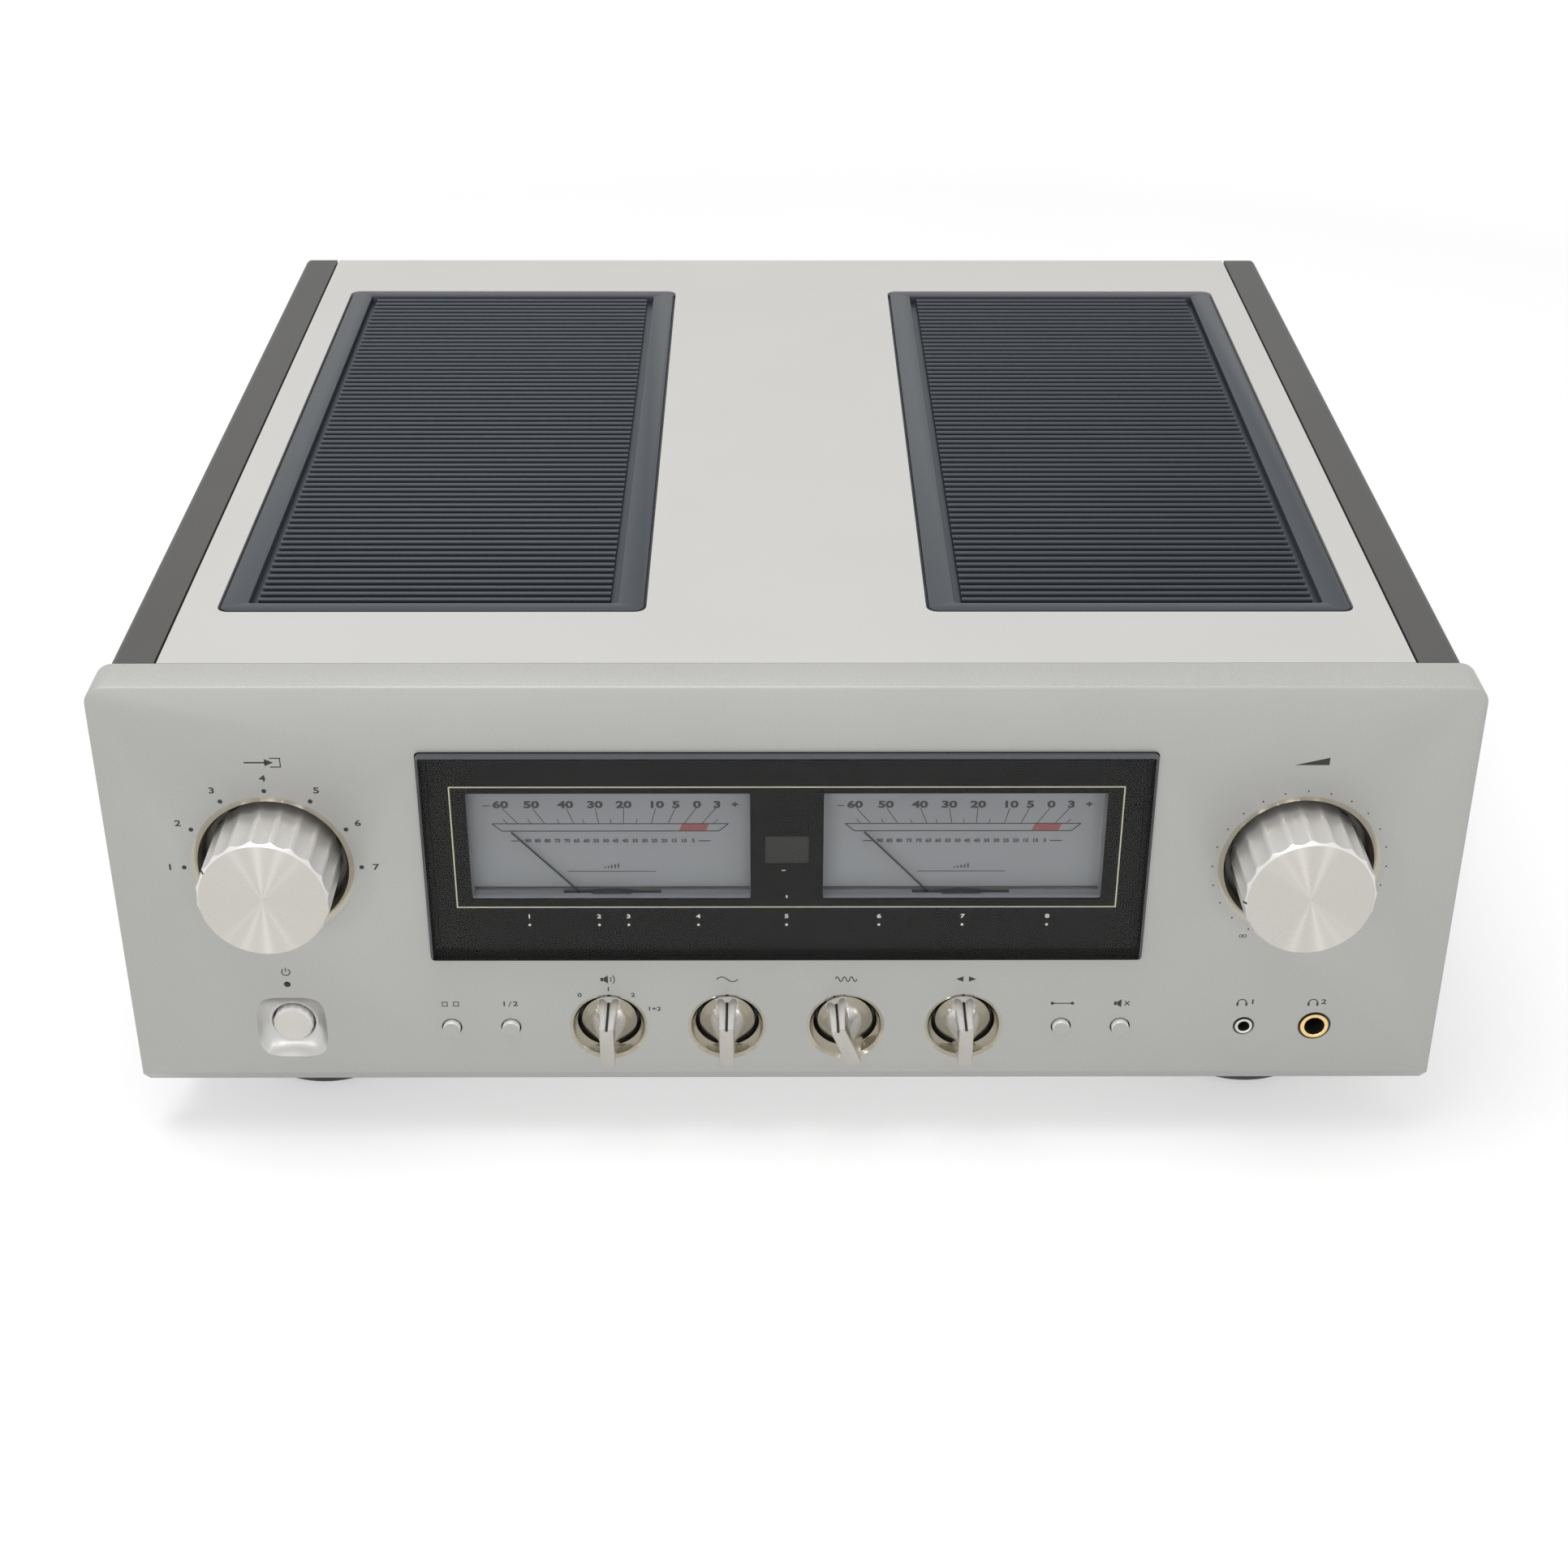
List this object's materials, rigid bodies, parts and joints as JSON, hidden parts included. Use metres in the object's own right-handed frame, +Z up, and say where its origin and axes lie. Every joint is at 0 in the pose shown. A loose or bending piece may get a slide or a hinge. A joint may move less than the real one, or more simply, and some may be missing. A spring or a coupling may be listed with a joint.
{
  "type": "integrated amplifier",
  "caption": "Full-size stereo integrated amplifier with a thick silver front, a level meter pair behind glass, fluted knobs, lever tone controls and louvred top grilles.",
  "frame": {"origin": "on the floor, at the middle of the outer width and depth", "axes": "+X to the right of someone facing the front panel, +Y from the front panel to the rear, +Z up"},
  "size_m": [0.44, 0.454, 0.178],
  "materials": {
    "blasted_aluminium": "bead-blasted clear anodised aluminium, satin",
    "spun_aluminium": "spun and polished aluminium",
    "bare_aluminium": "extruded aluminium",
    "silver_paint": "satin silver paint",
    "dark_paint": "satin dark grey paint",
    "grille_paint": "satin slate grey paint",
    "zinc_steel": "zinc plated sheet steel",
    "cast_iron": "dark painted casting",
    "smoked_glass": "clear polished glass",
    "black_plastic": "matt black",
    "dial_grey": "matt grey dial",
    "gold_plate": "gold plated brass",
    "circuit_green": "circuit board laminate",
    "lens_red": "small tinted lens"
  },
  "bodies": {
    "body": {"front_panel": "blasted_aluminium", "top_cover": "silver_paint", "side_panel_left": "dark_paint", "side_panel_right": "dark_paint", "base_chassis": "zinc_steel", "rear_panel": "dark_paint", "grille_left": "grille_paint", "grille_right": "grille_paint", "foot_front_left": "cast_iron", "foot_front_right": "cast_iron", "foot_rear_left": "cast_iron", "foot_rear_right": "cast_iron", "window_glass": "smoked_glass", "window_mask": "black_plastic", "meter_left": "dial_grey", "meter_right": "dial_grey", "level_display": "black_plastic", "input_selector_switch": "zinc_steel", "volume_attenuator": "zinc_steel", "speaker_selector_switch": "zinc_steel", "bass_control": "zinc_steel", "treble_control": "zinc_steel", "balance_control": "zinc_steel", "control_board": "circuit_green", "power_switch": "black_plastic", "operation_lamp": "lens_red", "headphone_socket_small": "gold_plate", "headphone_socket_large": "gold_plate", "signal_jacks": "gold_plate", "balanced_sockets": "black_plastic", "power_inlet": "black_plastic", "speaker_terminals_right": "black_plastic", "speaker_terminals_left": "black_plastic", "power_transformer": "cast_iron", "capacitor_bank": "circuit_green", "heat_sink_left": "bare_aluminium", "heat_sink_right": "bare_aluminium", "amplifier_board": "circuit_green"},
    "input_selector": {"input_selector_knob": "spun_aluminium"},
    "volume": {"volume_knob": "spun_aluminium"},
    "speaker_selector": {"speaker_selector_knob": "spun_aluminium"},
    "bass": {"bass_knob": "spun_aluminium"},
    "treble": {"treble_knob": "spun_aluminium"},
    "balance": {"balance_knob": "spun_aluminium"},
    "separate_key": {"separate_button": "blasted_aluminium"},
    "cartridge_key": {"cartridge_button": "blasted_aluminium"},
    "straight_key": {"straight_button": "blasted_aluminium"},
    "mute_key": {"mute_button": "blasted_aluminium"},
    "power_key": {"power_button": "spun_aluminium"},
    "pointer_left": {"needle_left": "black_plastic"},
    "pointer_right": {"needle_right": "black_plastic"},
    "cap_right_b_minus": {"speaker_cap_right_b_minus": "gold_plate"},
    "cap_right_a_minus": {"speaker_cap_right_a_minus": "gold_plate"},
    "cap_right_a_plus": {"speaker_cap_right_a_plus": "gold_plate"},
    "cap_right_b_plus": {"speaker_cap_right_b_plus": "gold_plate"},
    "cap_left_b_minus": {"speaker_cap_left_b_minus": "gold_plate"},
    "cap_left_a_minus": {"speaker_cap_left_a_minus": "gold_plate"},
    "cap_left_a_plus": {"speaker_cap_left_a_plus": "gold_plate"},
    "cap_left_b_plus": {"speaker_cap_left_b_plus": "gold_plate"},
    "ground_cap": {"ground_nut": "gold_plate"}
  },
  "joints": [
    {"name": "input_selector_turn", "type": "hinge", "parent": "body", "child": "input_selector", "pos_m": [-0.167, -0.207, 0.1115], "axis": [0, 1, 0], "range_deg": [-30, 150]},
    {"name": "volume_turn", "type": "hinge", "parent": "body", "child": "volume", "pos_m": [0.167, -0.207, 0.1115], "axis": [0, 1, 0], "range_deg": [-56, 244]},
    {"name": "speaker_selector_turn", "type": "hinge", "parent": "body", "child": "speaker_selector", "pos_m": [-0.06, -0.207, 0.0474], "axis": [0, 1, 0], "range_deg": [-30, 60]},
    {"name": "bass_turn", "type": "hinge", "parent": "body", "child": "bass", "pos_m": [-0.02, -0.207, 0.0474], "axis": [0, 1, 0], "range_deg": [-150, 150]},
    {"name": "treble_turn", "type": "hinge", "parent": "body", "child": "treble", "pos_m": [0.02, -0.207, 0.0474], "axis": [0, 1, 0], "range_deg": [-127, 173]},
    {"name": "balance_turn", "type": "hinge", "parent": "body", "child": "balance", "pos_m": [0.06, -0.207, 0.0474], "axis": [0, 1, 0], "range_deg": [-150, 150]},
    {"name": "separate_press", "type": "slide", "parent": "body", "child": "separate_key", "axis": [0, 1, 0], "range_m": [0, 0.0012], "stiffness_N_per_m": 400, "springref_m": -0.001},
    {"name": "cartridge_press", "type": "slide", "parent": "body", "child": "cartridge_key", "axis": [0, 1, 0], "range_m": [0, 0.0012], "stiffness_N_per_m": 400, "springref_m": -0.001},
    {"name": "straight_press", "type": "slide", "parent": "body", "child": "straight_key", "axis": [0, 1, 0], "range_m": [0, 0.0012], "stiffness_N_per_m": 400, "springref_m": -0.001},
    {"name": "mute_press", "type": "slide", "parent": "body", "child": "mute_key", "axis": [0, 1, 0], "range_m": [0, 0.0012], "stiffness_N_per_m": 400, "springref_m": -0.001},
    {"name": "power_press", "type": "slide", "parent": "body", "child": "power_key", "axis": [0, 1, 0], "range_m": [0, 0.002], "stiffness_N_per_m": 500, "springref_m": -0.001},
    {"name": "pointer_left_swing", "type": "hinge", "parent": "body", "child": "pointer_left", "pos_m": [-0.05752, -0.2, 0.0861], "axis": [0, 1, 0], "range_deg": [0, 85], "stiffness_Nm_per_rad": 0.000004, "springref_deg": -17.19},
    {"name": "pointer_right_swing", "type": "hinge", "parent": "body", "child": "pointer_right", "pos_m": [0.05752, -0.2, 0.0861], "axis": [0, 1, 0], "range_deg": [0, 85], "stiffness_Nm_per_rad": 0.000004, "springref_deg": -17.19},
    {"name": "cap_right_b_minus_turn", "type": "hinge", "parent": "body", "child": "cap_right_b_minus", "pos_m": [0.115, 0.215, 0.066], "axis": [0, 1, 0], "range_deg": [0, 720]},
    {"name": "cap_right_a_minus_turn", "type": "hinge", "parent": "body", "child": "cap_right_a_minus", "pos_m": [0.139, 0.215, 0.066], "axis": [0, 1, 0], "range_deg": [0, 720]},
    {"name": "cap_right_a_plus_turn", "type": "hinge", "parent": "body", "child": "cap_right_a_plus", "pos_m": [0.163, 0.215, 0.066], "axis": [0, 1, 0], "range_deg": [0, 720]},
    {"name": "cap_right_b_plus_turn", "type": "hinge", "parent": "body", "child": "cap_right_b_plus", "pos_m": [0.187, 0.215, 0.066], "axis": [0, 1, 0], "range_deg": [0, 720]},
    {"name": "cap_left_b_minus_turn", "type": "hinge", "parent": "body", "child": "cap_left_b_minus", "pos_m": [-0.009, 0.215, 0.066], "axis": [0, 1, 0], "range_deg": [0, 720]},
    {"name": "cap_left_a_minus_turn", "type": "hinge", "parent": "body", "child": "cap_left_a_minus", "pos_m": [0.015, 0.215, 0.066], "axis": [0, 1, 0], "range_deg": [0, 720]},
    {"name": "cap_left_a_plus_turn", "type": "hinge", "parent": "body", "child": "cap_left_a_plus", "pos_m": [0.039, 0.215, 0.066], "axis": [0, 1, 0], "range_deg": [0, 720]},
    {"name": "cap_left_b_plus_turn", "type": "hinge", "parent": "body", "child": "cap_left_b_plus", "pos_m": [0.063, 0.215, 0.066], "axis": [0, 1, 0], "range_deg": [0, 720]},
    {"name": "ground_nut_turn", "type": "hinge", "parent": "body", "child": "ground_cap", "pos_m": [0.15, 0.202, 0.1], "axis": [0, 1, 0], "range_deg": [0, 720]}
  ]
}
